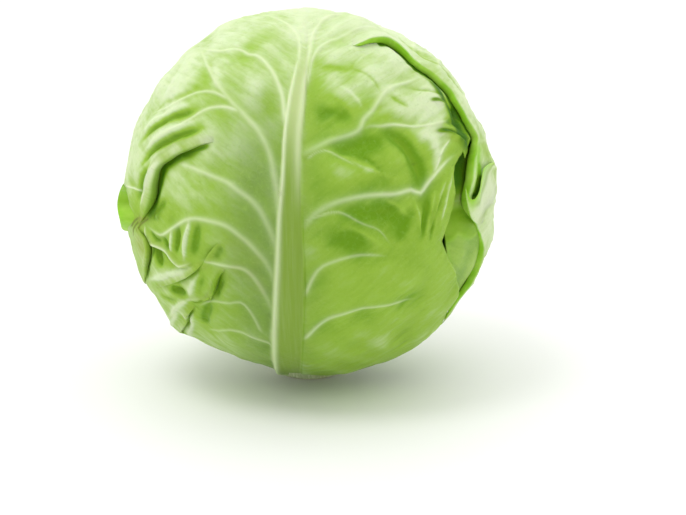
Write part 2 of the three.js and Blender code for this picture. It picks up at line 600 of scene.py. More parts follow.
# Linear colours.
LAMINA = (0.30, 0.49, 0.048)
# The blade's darkest green, where the painted shade of the relief and fine specks take it.
LAMINA_DEEP = (0.14, 0.31, 0.003)
# Pale green, for painted light on ridges and the upper head, for paler leaves and rib streaks.
LAMINA_PALE = (0.64, 0.76, 0.45)
BLOOM = (0.158, 0.268, 0.058)
NET = (0.42, 0.62, 0.15)
VEIN = (0.72, 0.82, 0.52)
RIB = (0.47, 0.59, 0.24)
RIB_OLIVE = (0.225, 0.355, 0.045)
# Bright green of inner faces, and of thin margins and lips, where it is partly painted backlight
# through the leaf.
GREEN_AND_BACKLIT = (0.27, 0.57, 0.022)
GREEN_AND_BACKLIT_PALE = (0.40, 0.66, 0.08)
# Painted shade, half and full, for creases, pits, gaps and hollows.
HALF_SHADED = (0.185, 0.35, 0.010)
SHADED = (0.048, 0.160, 0.001)
SCAR = (0.30, 0.19, 0.06)
CREAM = (0.80, 0.83, 0.58)
STEM_SKIN = (0.50, 0.60, 0.30)
STEM_SKIN_PALE = (0.72, 0.78, 0.52)
STEM_BROWN = (0.50, 0.40, 0.18)
STEM_CUT = (0.78, 0.76, 0.58)
STEM_CUT_DARK = (0.68, 0.66, 0.44)
STEM_RING = (0.46, 0.48, 0.24)
SHEEN_TINT = (0.86, 0.95, 0.74)

# The net of fine veins: cells to the metre and strength, in two sizes.
NET_SIZES = ((120.0, 0.4), (290.0, 0.9))
STREAK_SLOPE = 38


def net_of_veins(n, sheet):
    """The fine net between the veins, in two sizes, stronger in some places."""
    shift = n.noise(sheet, 160.0, 2.0, output="Color")
    bent = n.vector("ADD", {0: sheet, 1: n.vector("SCALE", {0: shift, "Scale": 0.0035})})
    lines = []
    for scale, strength in NET_SIZES:
        cells = n.node("TexVoronoi", {"Vector": bent, "Scale": scale}, "Distance",
                       feature="DISTANCE_TO_EDGE")
        lines.append(n.span(cells, 0.0, 0.10, strength, 0.0))
    patchy = n.span(n.noise(sheet, 38.0, 2.0), 0.38, 0.66, 0.2, 1.0)
    return n.product(n.math("MAXIMUM", *lines), patchy)


def streaks_from_midrib(n, sheet):
    """Fine streaks that slope up and outward on both sides of the midrib."""
    mirrored = n.node("SeparateXYZ", {0: n.vector("ABSOLUTE", {0: sheet})}, "X")
    joined = n.node("CombineXYZ", {0: mirrored, 1: n.node("SeparateXYZ", {0: sheet}, "Y")})
    slope = (0.0, 0.0, math.radians(STREAK_SLOPE))
    along = n.node("Mapping", {"Vector": joined, "Rotation": slope, "Scale": (5.0, 1.0, 1.0)},
                   vector_type="TEXTURE")
    return n.noise(along, 260.0, 4.0, 0.6, 0.3)


def leaf_material(name, paleness, inner_green, cream=0.0):
    """paleness shifts the blade towards pale green, inner_green greens its inner face, and
    cream shifts it towards the heart's colour."""
    n = Nodes(bpy.data.materials.new(name))
    sheet = n.attribute("sheet", "Vector")
    broad = n.noise(n.place(), 16.0, 2.0)
    mottle = n.noise(sheet, 75.0, 3.0, 0.6)
    fine = n.noise(sheet, 420.0, 4.0, 0.65)
    streaks = streaks_from_midrib(n, sheet)
    net = net_of_veins(n, sheet)
    fibres = n.node("Mapping", {"Vector": sheet, "Scale": (1.0, 0.05, 1.0)})
    rib_streak = n.noise(fibres, 420.0, 3.0, 0.6)

    # The blade's tone: painted light and shade that follow the relief, random tone, and the
    # paleness, which is partly painted light.
    tone = n.sum(n.attribute("crest"), n.span(broad, 0.3, 0.7, -0.10, 0.10),
                 n.span(mottle, 0.3, 0.7, -0.08, 0.08), n.span(streaks, 0.3, 0.7, -0.10, 0.10),
                 n.attribute("pale"))
    bloom = n.product(n.attribute("bloom"), n.span(mottle, 0.25, 0.7, 0.7, 1.0))
    rib_colour = n.mix(n.attribute("rib_olive"), RIB, RIB_OLIVE)
    rib_colour = n.mix(n.span(rib_streak, 0.4, 0.75, 0.0, 0.09), rib_colour, LAMINA_PALE)
    vein = n.attribute("vein")
    # Bright green: the inner face, and margins and lips, partly painted backlight.
    green_and_backlit = n.product(n.attribute("inner"), inner_green)
    green_and_backlit = n.math("MAXIMUM", n.attribute("green_and_backlit"), green_and_backlit)
    green_and_backlit_colour = n.mix(n.span(mottle, 0.35, 0.7), GREEN_AND_BACKLIT, GREEN_AND_BACKLIT_PALE)
    # Painted shade, which darkens the blade towards the two shaded greens.
    painted_shade = n.attribute("painted_shade")
    blade = LAMINA_DEEP
    for share, colour in (
        (n.span(tone, -0.9, 0.1), LAMINA),
        (n.span(tone, 0.0, 1.0), LAMINA_PALE),
        (paleness, LAMINA_PALE),
        (cream, CREAM),
        (bloom, BLOOM),
        (n.product(net, 0.10), NET),
        (n.span(fine, 0.52, 0.8, 0.0, 0.22), NET),
        (n.span(fine, 0.46, 0.25, 0.0, 0.22), LAMINA_DEEP),
        (n.attribute("rib"), rib_colour),
        (n.product(vein, 0.95, clamp=True), VEIN),
        (green_and_backlit, green_and_backlit_colour),
        (n.span(painted_shade, 0.0, 0.55), HALF_SHADED),
        (n.span(painted_shade, 0.3, 1.0), SHADED),
        (n.attribute("scar"), SCAR),
    ):
        if share != 0.0:
            blade = n.mix(share, blade, colour)

    roughness = n.sum(n.span(mottle, 0.3, 0.7, 0.46, 0.58), n.product(vein, 0.08))
    parts = ((net, 0.2), (mottle, 0.9), (fine, 0.5), (streaks, 1.2))
    relief = n.sum(*[n.product(part, strength) for part, strength in parts])
    return n.surface(relief, Base_Color=blade, Roughness=roughness, Specular_IOR_Level=0.15,
                     Sheen_Weight=0.03, Sheen_Roughness=0.35, Sheen_Tint=SHEEN_TINT,
                     Subsurface_Weight=0.22, Subsurface_Radius=(0.6, 1.0, 0.25),
                     Subsurface_Scale=SUBSURFACE_SCALE)


# Colour fields at the vertices. crest is painted light and shade that follow the relief.
FIELDS = ("crest", "pale", "vein", "rib", "rib_olive", "green_and_backlit", "painted_shade", "bloom", "scar")


def blank_fields(flat):
    fields = {name: np.zeros(flat.shape[:-1]) for name in FIELDS}
    fields["sheet"] = np.concatenate([flat, np.zeros(flat.shape[:-1] + (1,))], -1) * MM
    return fields


# ---- the front leaf: what is on it, by pixel ----

front = LeafMap(0)

# The midrib: pixel, half its width and its height in mm.
MIDRIB = [
    (285, 400, 9.0, 2.4), (287, 350, 8.6, 2.2), (288.5, 300, 7.8, 2.0), (289.5, 260, 6.8, 1.8),
    (289.5, 220, 5.8, 1.6), (291, 180, 4.8, 1.4), (292, 140, 4.5, 1.3), (294, 120, 4.5, 1.2),
    (296.5, 100, 4.3, 1.1), (299.5, 80, 3.8, 1.0), (303.5, 60, 3.8, 0.9), (306, 44, 4.0, 0.8),
]

# The side veins, from the midrib outward: pixels, first width, last width and height in mm,
# and how pale they are at the first and last pixel.
FRONT_VEINS = [
    ([(297, 72), (299, 52), (299, 38), (294, 28), (284, 20), (268, 15), (250, 13)],
     2.4, 1.4, 0.7, (0.7, 0.6)),
    ([(306, 74), (308, 60), (311, 40), (314, 28), (322, 18), (333, 14), (346, 12)],
     3.6, 2.4, 0.9, (0.8, 0.7)),
    ([(306, 84), (309, 70), (312, 56), (319, 44), (328, 38), (342, 33), (355, 29), (374, 28),
      (387, 30), (405, 38), (424, 52)], 2.2, 1.4, 0.6, (0.8, 0.6)),
    ([(287, 128), (284, 112), (283, 100), (280, 88), (276, 78), (270, 68), (262, 60), (255, 56),
      (248, 54), (240, 50), (217, 50), (206, 48), (198, 45)], 3.0, 1.6, 0.8, (0.8, 0.7)),
    ([(281, 222), (279, 205), (277, 190), (274, 175), (271, 160), (266, 145), (257, 129),
      (244, 114), (230, 100), (217, 83), (208, 67), (202, 54), (198, 46)],
     4.0, 1.8, 0.8, (0.35, 0.7)),
    ([(230, 100), (217, 94), (204, 92), (190, 95), (177, 102), (164, 107), (147, 112)],
     2.0, 1.3, 0.6, (0.7, 0.6)),
    ([(239, 111), (224, 107), (212, 108), (197, 115), (177, 127), (159, 139), (143, 154)],
     2.2, 1.4, 0.6, (0.8, 0.5)),
    ([(279, 262), (277, 248), (272, 235), (266, 222), (258, 208), (248, 198), (240, 192),
      (226, 182), (209, 175), (190, 167), (172, 161)], 4.2, 2.0, 0.8, (0.22, 0.7)),
    ([(278, 304), (274, 280), (266, 262), (255, 249), (241, 237), (224, 225), (204, 220),
      (190, 219), (176, 225), (165, 233), (158, 235.5), (149, 230), (141, 224)],
     4.0, 1.4, 1.0, (0.08, 1.0)),
    ([(274, 318), (268, 301), (257, 283), (244, 270), (230, 267), (210, 263), (196, 261)],
     3.6, 1.4, 0.7, (0.12, 0.7)),
    ([(142, 228), (145, 239), (150, 244), (156, 246.5), (164, 251), (171, 259), (180, 265.5),
      (192, 263)], 1.5, 1.2, 0.9, (0.9, 0.7)),
    ([(262, 330), (244, 307), (230, 304), (209, 303), (196, 308)], 2.0, 1.2, 0.7, (0.3, 0.5)),
    ([(304, 154), (327, 142), (340, 138), (358, 131), (364, 119), (372, 111), (379, 100),
      (386, 91), (396, 84), (411, 80), (426, 74)], 3.2, 2.0, 0.9, (0.3, 0.95)),
    ([(356, 132), (370, 126), (380, 126), (394, 124), (407, 125), (416, 126), (434, 124),
      (450, 120)], 1.9, 1.4, 0.7, (0.9, 0.8)),
    ([(353, 67), (358, 60), (366, 53), (378, 47)], 1.6, 1.0, 0.4, (0.6, 0.5)),
    ([(305, 226), (315, 214), (332, 204), (353, 198), (374, 195), (395, 194), (411, 190),
      (421, 193), (430, 180), (439, 168), (447, 160), (456, 153)], 3.2, 2.0, 0.9, (0.3, 1.0)),
    ([(430, 181), (435, 168), (440, 152), (450, 138)], 1.8, 1.2, 0.6, (0.9, 0.9)),
    ([(308, 158), (317, 152), (327, 151), (336, 156), (357, 167)], 1.3, 0.8, 0.4, (0.4, 0.3)),
    ([(305, 221), (316, 217), (338, 212), (361, 223), (380, 231), (392, 247)],
     1.5, 0.9, 0.45, (0.4, 0.2)),
    ([(305, 296), (318, 270), (334, 261), (351, 257), (371, 255), (390, 256)],
     2.2, 1.0, 0.55, (0.5, 0.4)),
    ([(123, 185), (133, 188), (143, 192)], 1.4, 1.2, 0.5, (1.0, 0.9)),
    ([(304, 340), (330, 318), (372, 306), (420, 300)], 2.4, 1.2, 0.7, (0.6, 0.5)),
    ([(283, 352), (262, 338), (232, 330), (204, 332)], 2.2, 1.2, 0.7, (0.4, 0.5)),
]

# Swellings, or hollows if negative, that run out at both ends: pixels, height and width.
FRONT_FORMS = [
    # the upper left, above the fold
    ([(210, 127), (185, 133), (170, 139), (158, 146), (148, 156), (140, 172)], -2.3, 2.6),
    ([(204, 119), (176, 128), (158, 138), (140, 156)], 0.9, 2.4),
    ([(204, 108), (176, 116), (158, 125), (138, 144)], -2.0, 2.8),
    ([(196, 100), (178, 109), (160, 116), (142, 130)], 0.6, 2.0),
    ([(200, 88), (178, 97), (160, 103), (148, 118)], -0.5, 3.0),
    ([(166, 157), (156, 170), (149, 184), (144, 197), (140, 211)], 0.9, 1.8),
    ([(153, 160), (146, 173), (141, 187), (136, 204)], -1.5, 2.6),
    ([(158, 222), (150, 216), (158, 206), (170, 198)], -1.3, 2.6),
    # the crumpled lower left
    ([(171, 226), (170, 240), (170, 256)], 1.0, 1.3),
    ([(176, 225), (176.5, 238), (175, 256)], -2.0, 2.0),
    ([(190, 217), (187, 232), (184.5, 244), (184, 263)], 1.4, 1.4),
    ([(197, 220), (195, 240), (190, 258)], -1.6, 2.8),
    ([(160, 236), (164, 243), (167, 252)], -1.2, 1.8),
    ([(147, 231), (154, 240), (160, 242)], -1.0, 1.6),
    ([(153, 246), (157, 255), (163, 268)], -2.8, 2.6),
    ([(148, 279), (166, 275), (182, 271), (196, 265)], 0.9, 3.0),
    ([(170, 288), (178, 290), (187, 292)], -2.6, 3.0),
    ([(160, 292), (170, 298), (180, 298)], -0.8, 3.0),
    ([(199, 272), (193, 284), (189, 299)], 0.7, 1.8),
    ([(204, 274), (200, 285), (198, 298)], -0.7, 2.6),
    ([(226, 276), (219, 288), (213, 302)], -1.3, 3.0),
    ([(167, 320), (175, 309), (184, 302), (194, 299), (208, 300)], 0.9, 2.2),
    ([(210, 303), (206, 313), (203, 326)], -2.0, 3.4),
    ([(178, 311), (176, 321), (180, 332)], 1.0, 1.8),
    ([(193, 311), (191, 323), (190, 337)], 1.2, 1.8),
    ([(225, 243), (219, 252), (212, 262)], -1.1, 2.8),
    # the right side
    ([(312, 114), (335, 112), (354, 122)], -1.0, 5.0),
    ([(322, 148), (350, 149), (388, 140)], -1.2, 6.0),
    ([(378, 128), (402, 142), (416, 164), (424, 192)], -2.2, 4.6),
    ([(404, 128), (430, 139), (436, 160), (424, 190)], 0.8, 4.4),
    ([(330, 212), (375, 213), (410, 205)], -1.1, 5.0),
    ([(312, 242), (345, 238), (378, 246)], -0.9, 8.0),
    ([(330, 178), (356, 172), (384, 176)], 0.6, 8.0),
    ([(322, 150), (345, 158), (368, 170), (404, 181)], 0.5, 1.6),
    ([(352, 152), (372, 164), (388, 182)], -0.5, 1.8),
    ([(366, 206), (390, 214), (408, 232)], -0.5, 5.0),
    ([(438, 94), (447, 105), (452, 113), (456, 122), (460, 132), (464, 146)], -1.2, 5.0),
    ([(380, 198), (398, 206), (413, 222)], 0.5, 1.8),
    ([(413, 196), (419, 214), (421, 240)], 0.6, 1.4),
    ([(340, 226), (362, 232), (384, 248)], 0.5, 1.8),
    ([(324, 92), (340, 104), (352, 120)], -0.5, 3.0),
    ([(336, 84), (352, 94), (366, 112)], 0.4, 1.6),
    ([(454, 164), (446, 192), (438, 232)], 0.8, 1.4),
    ([(447, 172), (439, 198), (431, 240)], 0.9, 1.4),
    ([(438, 182), (431, 208), (423, 244)], 0.7, 1.5),
    ([(443, 186), (436, 214), (428, 244)], -1.0, 1.2),
    ([(430, 194), (426, 214), (420, 242)], -1.2, 2.6),
    ([(414, 206), (404, 226), (398, 246)], -0.9, 4.6),
    ([(318, 64), (334, 65), (350, 68)], -0.6, 3.0),
    ([(350, 64), (372, 80), (382, 95)], -0.4, 1.4),
    ([(388, 94), (400, 101), (412, 108)], -0.7, 2.5),
    ([(410, 86), (428, 92), (446, 100)], -0.6, 1.4),
    ([(452, 106), (456, 113), (457, 122)], -2.8, 2.6),
    ([(440, 122), (456, 125), (468, 138)], -1.4, 2.6),
    ([(212, 55), (218, 78), (214, 97)], 0.7, 5.0),
    ([(260, 84), (266, 102), (270, 124)], -0.6, 7.0),
]

# Shaded creases and pits: pixels, width in mm and depth of the shade.
FRONT_SHADES = [
    ([(425, 73), (433, 86), (440, 97), (446, 105), (450, 113), (454, 121), (457, 130),
      (459, 142), (461, 154)], 3.0, 1.0),
    ([(448, 106), (455, 117), (459, 128), (463, 140), (466, 156)], 5.2, 1.0),
    ([(427, 101), (436, 101.5), (446, 105), (453, 111)], 1.3, 0.75),
    ([(433, 132.5), (446, 131), (456, 135), (465, 143), (471, 152)], 1.5, 0.95),
    ([(143, 238), (150, 245), (152.5, 252), (151.5, 260), (149.5, 268), (148, 280)], 1.2, 0.8),
    ([(156, 250), (157.5, 259)], 1.5, 0.5),
    ([(213, 144.5), (203, 147), (193, 149.5), (183, 153), (172, 159)], 1.6, 0.8),
    ([(168, 156), (162.5, 163), (160, 172), (158.5, 182), (156, 192), (152, 200),
      (147, 208)], 2.6, 0.95),
    ([(165, 202), (158, 210), (155, 223)], 3.0, 0.5),
    ([(198, 140), (182, 145), (168, 152), (160, 160), (154, 172), (149, 186), (145, 200)],
     4.0, 0.24),
    ([(176, 228), (176, 252)], 1.2, 0.4),
    ([(172, 288), (184, 292)], 2.2, 0.45),
    ([(208, 304), (205, 322)], 1.8, 0.4),
    ([(204, 300), (197, 303), (190, 303)], 1.2, 0.6),
    ([(225, 270), (219, 275), (215, 284), (211, 296)], 2.0, 0.4),
    ([(424, 196), (430, 214), (432, 236)], 1.8, 0.25),
]

# On the flap's outer face, along its edge: pixels, height and width in mm.
FLAP_FORMS = [
    ([(384, 26), (400, 31), (413, 44), (425, 57), (440, 67), (453, 82), (463, 97), (470, 110)],
     -0.5, 1.8),
]

# Dips in the outline, or bulges if negative, at pixels on it or just outside it: depth and
# width in mm.
FRONT_DIPS = [
    ((384, 14), 4.4, 17.0), ((338, 2), 2.8, 14.0), ((408, 36), 2.6, 13.0),
    ((472, 98), 4.6, 14.0), ((494, 144), 3.4, 9.0), ((500, 182), 1.4, 9.0),
    ((500, 212), 3.0, 12.0), ((122, 150), 1.1, 22.0), ((138, 118), 0.2, 8.0),
    ((142, 104), 0.8, 12.0), ((246, 12), -1.2, 10.0), ((366, 12), 2.6, 9.0),
    ((144, 298), 1.0, 12.0), ((124, 246), 2.4, 12.0), ((124, 217), -1.7, 8.0),
    ((170, 336), -3.0, 12.0), ((168, 62), 1.2, 14.0), ((228, 18), -1.0, 16.0),
    ((146, 292), 0.4, 8.0),
]

# Folds, as the Fold class below takes them: pixel, height of the rolled edge, and depth from
# it to the low side, in mm. The high side is on the right of the way along the pixels.
FLAP_EDGE = [
    (441, 321, 0.0, 0.0), (457, 303, 0.2, 2.4), (470, 285, 0.3, 3.8), (478, 271, 0.4, 4.2),
    (482.5, 257, 0.5, 4.4), (484, 246, 0.5, 4.4), (483, 236, 0.6, 4.4), (480, 226, 0.8, 4.4),
    (475, 217, 0.8, 4.4), (471, 208, 0.8, 4.6), (469, 198, 0.8, 4.8), (469.5, 188, 0.7, 5.2),
    (470.5, 178, 0.6, 5.4), (471, 168, 0.4, 5.2), (472, 160, 0.4, 5.0), (474, 152, 0.4, 5.0),
    (474, 145, 0.5, 4.4), (474.5, 137.5, 1.0, 4.2), (469, 128.5, 0.8, 4.0),
    (463, 118.5, 0.6, 3.6), (458.5, 109.5, 0.6, 3.6), (454, 101, 0.6, 3.8),
    (450, 92, 0.6, 4.0), (442, 82.5, 0.7, 4.0),
    (432.5, 72, 0.7, 3.8), (422, 64, 0.7, 3.6), (413, 55.5, 0.8, 3.8), (406, 48.5, 0.9, 4.2),
    (398, 42.5, 1.0, 4.8), (390, 38.5, 1.1, 4.8), (380, 37.5, 1.1, 4.2), (370, 38.5, 0.9, 3.6),
    (362, 41, 0.6, 2.6), (357, 42.5, 0.3, 1.4), (352, 44, 0.0, 0.0),
]
LEFT_FOLD = [
    (214, 142, 0.0, 0.0), (205, 142.3, 0.5, 1.3), (196, 143.2, 0.9, 2.2), (186, 146, 1.3, 3.0),
    (176, 150, 1.5, 3.4), (167, 154.5, 1.6, 3.6), (159, 160.5, 1.8, 3.8),
    (154.5, 168, 2.0, 4.4), (151.5, 177, 2.1, 5.2), (149, 186, 2.1, 5.8), (147.5, 194, 2.1, 5.8),
    (145, 202, 1.9, 5.2), (142, 210, 1.5, 3.4), (139, 217, 0.9, 1.6), (136, 224, 0.0, 0.0),
]
FINGER_FOLD = [
    (135.5, 228, 0.0, 0.0), (138, 235, 0.7, 1.6), (142, 242, 1.1, 2.8), (145, 250, 1.3, 3.6),
    (145.5, 258, 1.3, 3.6), (144.5, 267, 1.1, 2.8), (144.5, 276, 0.7, 1.6), (146, 286, 0.0, 0.0),
]
SIDE_CREASE = [
    (435, 132, 0.0, 0.0), (440, 130.5, 0.3, 0.8), (446, 131, 0.5, 1.3), (452, 133.5, 0.6, 1.8),
    (458, 138, 0.6, 2.4), (464, 144, 0.4, 2.4), (468, 149, 0.2, 1.6), (470, 153, 0.0, 0.0),
]
UPPER_CREASE = [
    (430, 101.5, 0.0, 0.0), (437, 102, 0.2, 0.6), (443, 103, 0.3, 1.1), (448, 106, 0.3, 1.6),
    (452, 111, 0.3, 2.2), (455, 117, 0.2, 2.0), (457, 121, 0.0, 0.6),
]
LOWER_CREASES = [
    [(200, 270, 0.0, 0.0), (204, 262, 0.4, 1.4), (208, 255, 0.5, 1.9), (213, 249, 0.4, 1.4),
     (220, 242, 0.0, 0.0)],
    [(225, 270, 0.0, 0.0), (219, 275, 0.8, 1.8), (215.5, 282, 1.2, 3.0), (213, 290, 1.2, 3.2),
     (209, 299, 0.8, 1.8), (207, 305, 0.0, 0.0)],
    [(212, 298, 0.0, 0.0), (206, 300.5, 0.6, 1.8), (200, 302, 0.6, 1.8), (194, 301.5, 0.3, 0.9),
     (189, 300, 0.0, 0.0)],
    [(193, 308, 0.0, 0.0), (189, 312.5, 0.8, 2.2), (186, 318, 0.9, 2.8), (184, 325, 0.8, 2.6),
     (183, 334, 0.0, 0.6)],
    [(192, 266, 0.0, 0.0), (181, 267, 0.5, 1.2), (171, 261, 0.7, 2.0), (163.5, 253, 0.8, 2.6),
     (155, 248, 0.7, 2.0), (147, 243, 0.0, 0.0)],
    [(200, 265, 0.0, 0.0), (194, 271, 0.6, 1.8), (186, 277, 0.8, 2.2), (177, 281, 0.7, 2.0),
     (168, 284, 0.4, 1.2), (158, 287, 0.0, 0.0)],
]

# The petal: the flap's margin turned forward below it, between a free edge and a seated
# edge. Each is a list of pixels with the height above the head in mm.
PETAL_FREE = [
    (494.5, 162.5, 1.6), (489, 164.5, 2.8), (484.5, 169, 3.4), (482.5, 179, 3.6),
    (480, 192, 3.6), (475, 200, 3.8), (469.5, 197, 4.2), (465.5, 188, 4.6),
]
PETAL_SEATED = [
    (494, 164, 0.8), (495, 175, 0.3), (494.5, 190, 0.1), (491, 201, 0.0), (486, 211, 0.0),
    (483, 224, 0.8), (472, 218, 2.4), (465.5, 190, 4.2),
]
# The green hollow between the flap's edge and the petal, its floor with painted shade, and
# the green lip beside it. Their green is partly painted backlight.
POCKET = [(477, 167), (476.5, 178), (476, 188), (474, 197)]
POCKET_FLOOR = [(479, 178), (478.5, 186), (477, 194), (473, 197)]
POCKET_LIP = [(475, 150), (474, 165), (473, 180), (472, 194)]

# The right lobe's free margin, which shows between the flap and the leaf below.
LOBE_MARGIN = [(444.5, 242), (448.5, 227), (452, 213), (456, 203), (457, 194), (454, 184),
               (453, 174), (455, 165), (460, 157), (466, 150), (473, 145)]

# Where the blade is paler, or greener if negative, partly painted light and shade: pixel,
# change and width in mm.
PALE_AND_LIT_PLACES = [
    ((262, 40), -0.45, 11.0), ((166, 100), 0.5, 15.0), ((258, 116), 0.28, 15.0),
    ((215, 75), -0.34, 13.0), ((300, 28), 0.2, 12.0), ((370, 178), -0.35, 12.0),
    ((340, 100), 0.1, 12.0), ((330, 20), 0.15, 14.0), ((262, 112), 0.2, 12.0),
    ((185, 300), -0.2, 14.0), ((190, 190), -0.12, 10.0), ((176, 178), 0.15, 7.0),
    ((127, 212), 0.4, 5.0), ((430, 112), 0.5, 13.0), ((443, 142), 0.45, 8.0),
    ((438, 165), 0.2, 5.0), ((400, 215), 0.12, 9.0), ((360, 225), -0.15, 9.0),
]

# Brown creases where the left fold and the finger's fold are pinched together.
PINCH_LINES = [
    [(141, 218), (136, 222), (133, 228), (132.5, 235)], [(144, 219.5), (138, 224), (135.5, 230)],
    [(139, 217.5), (134, 220), (131, 226)],
]
# Browned spots of the lower left veins, and the middle of the browned edge.
BROWNED_VEINS = [(232, 243), (243, 248), (254, 259), (238, 268), (249, 275), (259, 286)]
SCARRED_PIXEL = (140, 246)


# ---- the front leaf's relief ----

# A rolled edge turns through ROLL_TURN degrees in ROLL_STEPS columns of its sheet.
ROLL_STEPS = 13
ROLL_TURN = 190
# How far paths that shape a whole side of the head are felt, in mm.
FAR_AROUND = 200.0


class Fold:
    """A crease in the front leaf whose high side rolls over its low side.

    The high side comes back to the blade's height within `settle` mm, and the low side's
    hollow is about `hollow` mm wide. roll is how far the edge hangs over. The argument after
    hollow is how green the rolled edge is, partly painted backlight, and shaded is how much
    painted shade darkens its face.
    """

    def __init__(self, points, roll, settle, hollow, green_and_backlit=0.0, shaded=0.0, rows=81):
        points = curve_through(points, 1.2)
        self.crests = points[:, 2]
        self.hems = np.maximum(points[:, 3], 0.0)
        self.path = front.from_pixels(points[:, :2], self.crests)
        self.shares = shares_along(self.path)
        self.roll = roll
        self.settle = settle
        self.hollow = hollow
        self.green_and_backlit = green_and_backlit
        self.shaded = shaded
        self.rows = rows

    def at(self, flat, reach):
        """Distance behind the edge, distance from it, and the crest and hem there."""
        distance, along, offset = nearest_on(self.path, flat, reach)
        crest = np.interp(along, self.shares, self.crests)
        hem = np.interp(along, self.shares, self.hems)
        return -offset, distance, crest, hem

    def lift(self, behind, crest):
        return crest * (1 - smooth(behind, 0.0, self.settle))

    def relief(self, flat):
        """What the fold adds to the blade beside and under its rolled edge, and its painted
        shade.
        """
        behind, distance, crest, hem = self.at(flat, self.settle + 3 * self.hollow)
        high = smooth(behind, 0.4, 0.4 + 1.2 * self.roll)
        sink = (hem - crest) * bell(distance, self.hollow)
        shade = bell(behind + self.roll, 1.2 * self.roll + 0.8)
        shade = (1 - high) * smooth(hem, 0.6, 3.6) * shade
        return high * self.lift(behind, crest) - (1 - high) * sink, shade

    def dive(self, flat, depth):
        """The same, with painted shade in the gap under the edge, where the rolled edge's own
        sheet covers the whole high side.

        depth is how far the points are inside the lines that bound that sheet.
        """
        behind, _, crest, hem = self.at(flat, FAR_AROUND)
        inside = smooth(depth, -1.0, 8.0)
        sink = (hem - crest) * bell(np.maximum(-behind, 0), self.hollow)
        sink = sink * np.where(behind > 0, inside, 1.0)
        under = smooth(behind, 2.0, 10.0)
        gap = smooth(hem, 1.0, 3.2) * smooth(behind, -5.6, -1.6) * smooth(depth, 0.0, 2.0)
        return -(sink * (1 - under) + 1.9 * inside * under), gap

    def sheet(self, relief, far=None):
        """The rolled edge and the high side behind it, as a closed sheet.

        It reaches back as far as the fold settles, or to the points of far.
        """
        share = np.linspace(0, 1, self.rows)
        columns = (self.path[:, 0], self.path[:, 1], self.crests, self.hems)
        x, y, crest, hem = (np.interp(share, self.shares, column) for column in columns)
        near = np.stack([x, y], -1)
        crest = crest[:, None]
        hem = hem[:, None]
        if far is None:
            k = np.arange(self.rows)
            tangent = near[np.minimum(k + 2, self.rows - 1)] - near[np.maximum(k - 2, 0)]
            run = np.stack([tangent[:, 1], -tangent[:, 0]], -1)
            unit = run / np.linalg.norm(run, axis=1, keepdims=True)
            length = self.settle
            body = np.linspace(0, 1, 17)[1:]
            cover = 0.10
            thickness = 0.3
        else:
            length = np.linalg.norm(far - near, axis=1)[:, None]
            unit = (far - near) / length
            body = np.linspace(0, 1, 57)[1:] ** 1.25
            cover = 0.0
            thickness = BLADE_THICKNESS
        turn = np.radians(np.linspace(ROLL_TURN, 0, ROLL_STEPS))
        tight = np.minimum(hem / (2 * self.roll), 1.0)
        rolled = -self.roll * np.sin(turn) * tight
        across = np.concatenate([rolled, body * length * np.ones_like(hem)], axis=1)
        drop = np.zeros_like(across)
        drop[:, :ROLL_STEPS] = -hem * (1 - np.cos(turn)) / 2
        inland = np.maximum(across, 0.3 * tight)
        height, fields = relief(near[:, None, :] + unit[:, None, :] * inland[..., None])
        settled = smooth(across, 0.4 * self.settle, 0.9 * self.settle)
        cover = cover * (1 - settled) * tight - 0.03
        height = height + self.lift(inland, crest) + drop + cover
        folded = np.zeros_like(across)
        folded[:, :ROLL_STEPS] = turn
        # The rolled edge is painted green, partly as backlight through it.
        green = self.green_and_backlit * smooth(folded, 0.15, 0.9) * tight
        fields["green_and_backlit"] = np.maximum(fields["green_and_backlit"], green)
        # Painted shade: taken off the roll and first mm of a shaded fold's sheet, then laid on
        # the roll's face and underside.
        if self.shaded > 0:
            fields["painted_shade"] = fields["painted_shade"] * smooth(across, 0.5, 4.0)
        dark = np.maximum(self.shaded * smooth(folded, 0.3, 1.3), 0.9 * smooth(folded, 2.0, 3.0))
        fields["painted_shade"] = np.maximum(fields["painted_shade"], dark * tight)
        flat = near[:, None, :] + unit[:, None, :] * across[..., None]
        return closed_sheet(front.places(flat, height), 0.05 + thickness * tight, fields)


flap = Fold(FLAP_EDGE, 1.0, 16.0, 8.0, green_and_backlit=1.0, rows=225)
# The flap's sheet runs to the leaf's margin on the far side, between these bearings.
FLAP_BEARINGS = np.radians([-46, 78])
flap_corners = polar(FLAP_BEARINGS, front.margin(FLAP_BEARINGS))
flap_ends = [(flap.path[-1], flap_corners[1], 1), (flap.path[0], flap_corners[0], -1)]


def depth_in_flap(flat):
    """How far points are inside the two straight lines at the flap's ends, in mm."""
    depths = []
    for start, end, turn in flap_ends:
        heading = (end - start) / np.linalg.norm(end - start)
        depths.append((flat - start) @ np.array([heading[1], -heading[0]]) * turn)
    return np.minimum(*depths)


folds = [
    Fold(LEFT_FOLD, 2.4, 7.0, 6.0, green_and_backlit=0.35, shaded=0.42, rows=121),
    Fold(FINGER_FOLD, 1.2, 4.5, 3.0, green_and_backlit=0.3, shaded=0.3),
    Fold(SIDE_CREASE, 0.5, 5.0, 3.0, green_and_backlit=0.2),
    Fold(UPPER_CREASE, 0.4, 4.0, 2.0),
    *[Fold(points, 0.5, 4.0, 2.4) for points in LOWER_CREASES],
]
front_rib = Midrib([(*front.from_pixels([row[:2]])[0], *row[2:]) for row in MIDRIB])


def traced_rows(table, step):
    return [(front.traced(pixels, step), *values) for pixels, *values in table]


